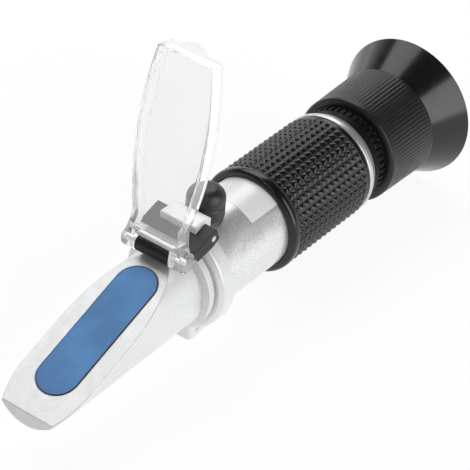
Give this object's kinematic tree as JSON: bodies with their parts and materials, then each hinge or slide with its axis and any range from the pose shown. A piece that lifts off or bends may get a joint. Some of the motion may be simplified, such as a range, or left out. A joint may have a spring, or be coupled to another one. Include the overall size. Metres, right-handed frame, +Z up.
{
  "type": "salinity refractometer",
  "caption": "Handheld refractometer with a slanted measuring prism, hinged clear daylight plate, rubber grip, focusing ring and flared eyecup.",
  "frame": {"origin": "Middle of the length and width at rest, on the surface that the foot and the eyecup's rim rest on.", "axes": "+X runs along the optical axis from the nose to the eyecup, +Z is up, the daylight plate stands up."},
  "size_m": [0.1608, 0.04, 0.0884],
  "materials": {
    "silver_paint": "satin",
    "tube_metal": "satin",
    "prism_glass": "polished",
    "seal_rubber": "matte",
    "film": "satin",
    "grip_rubber": "matte",
    "bright_metal": "brushed",
    "matte_black": "matte",
    "satin_black": "satin",
    "gloss_black": "gloss",
    "clear_plastic": "clear",
    "cap_rubber": "matte",
    "steel": "bright",
    "brass": "machined",
    "bimetal": "rolled",
    "black_metal": "matte",
    "lens_glass": "polished"
  },
  "bodies": {
    "root": {"prism_housing": "silver_paint", "prism": "prism_glass", "prism_seal": "seal_rubber", "main_tube": "tube_metal", "label_film": "film", "rubber_grip": "grip_rubber", "trim_ring": "bright_metal", "lock_ring": "matte_black", "hinge_block": "matte_black", "hinge_pin": "steel", "block_pin": "steel", "calibration_bush": "brass", "strip_saddle": "black_metal", "strip_screws": "steel", "light_baffle": "black_metal", "reticle_seat": "black_metal", "reticle": "lens_glass", "reticle_retainer": "black_metal", "guide_pin": "steel"},
    "lid": {"daylight_plate": "clear_plastic"},
    "cap": {"calibration_cap": "cap_rubber"},
    "calibration": {"calibration_screw": "brass"},
    "objective": {"objective_cell": "black_metal", "objective_lens": "lens_glass", "objective_retainer": "black_metal", "compensator_strip": "bimetal"},
    "ocular": {"ocular_cell": "black_metal", "field_lens": "lens_glass", "lens_spacer": "black_metal", "eye_lens": "lens_glass", "eye_lens_retainer": "black_metal", "ocular_clip": "steel"},
    "focus": {"focus_ring": "satin_black", "eyecup": "gloss_black"}
  },
  "joints": [
    {"name": "lid_hinge", "type": "hinge", "parent": "root", "child": "lid", "pos_m": [-0.0321, 0, 0.0331], "axis": [0, -1, 0], "range_deg": [0, 120.45]},
    {"name": "cap_lift", "type": "slide", "parent": "root", "child": "cap", "axis": [0, 0, 1], "range_m": [0, 0.012]},
    {"name": "calibration_turn", "type": "hinge", "parent": "root", "child": "calibration", "pos_m": [-0.0129, 0, 0.0346], "axis": [0, 0, 1], "range_deg": [-180, 180]},
    {"name": "lens_tilt", "type": "hinge", "parent": "root", "child": "objective", "pos_m": [0.0176, 0, 0.0107], "axis": [0, 1, 0], "range_deg": [-0.5, 0.5]},
    {"name": "focus_travel", "type": "slide", "parent": "root", "child": "ocular", "axis": [1, 0, 0], "range_m": [-0.0004, 0.0036]},
    {"name": "focus_turn", "type": "hinge", "parent": "ocular", "child": "focus", "pos_m": [0.0596, 0, 0.02], "axis": [1, 0, 0], "range_deg": [-30, 270]}
  ],
  "couplings": [
    {"joint": "lens_tilt", "follows": "calibration_turn", "ratio": 0.0027772},
    {"joint": "focus_turn", "follows": "focus_travel", "rad_per_m": 1308.9}
  ]
}
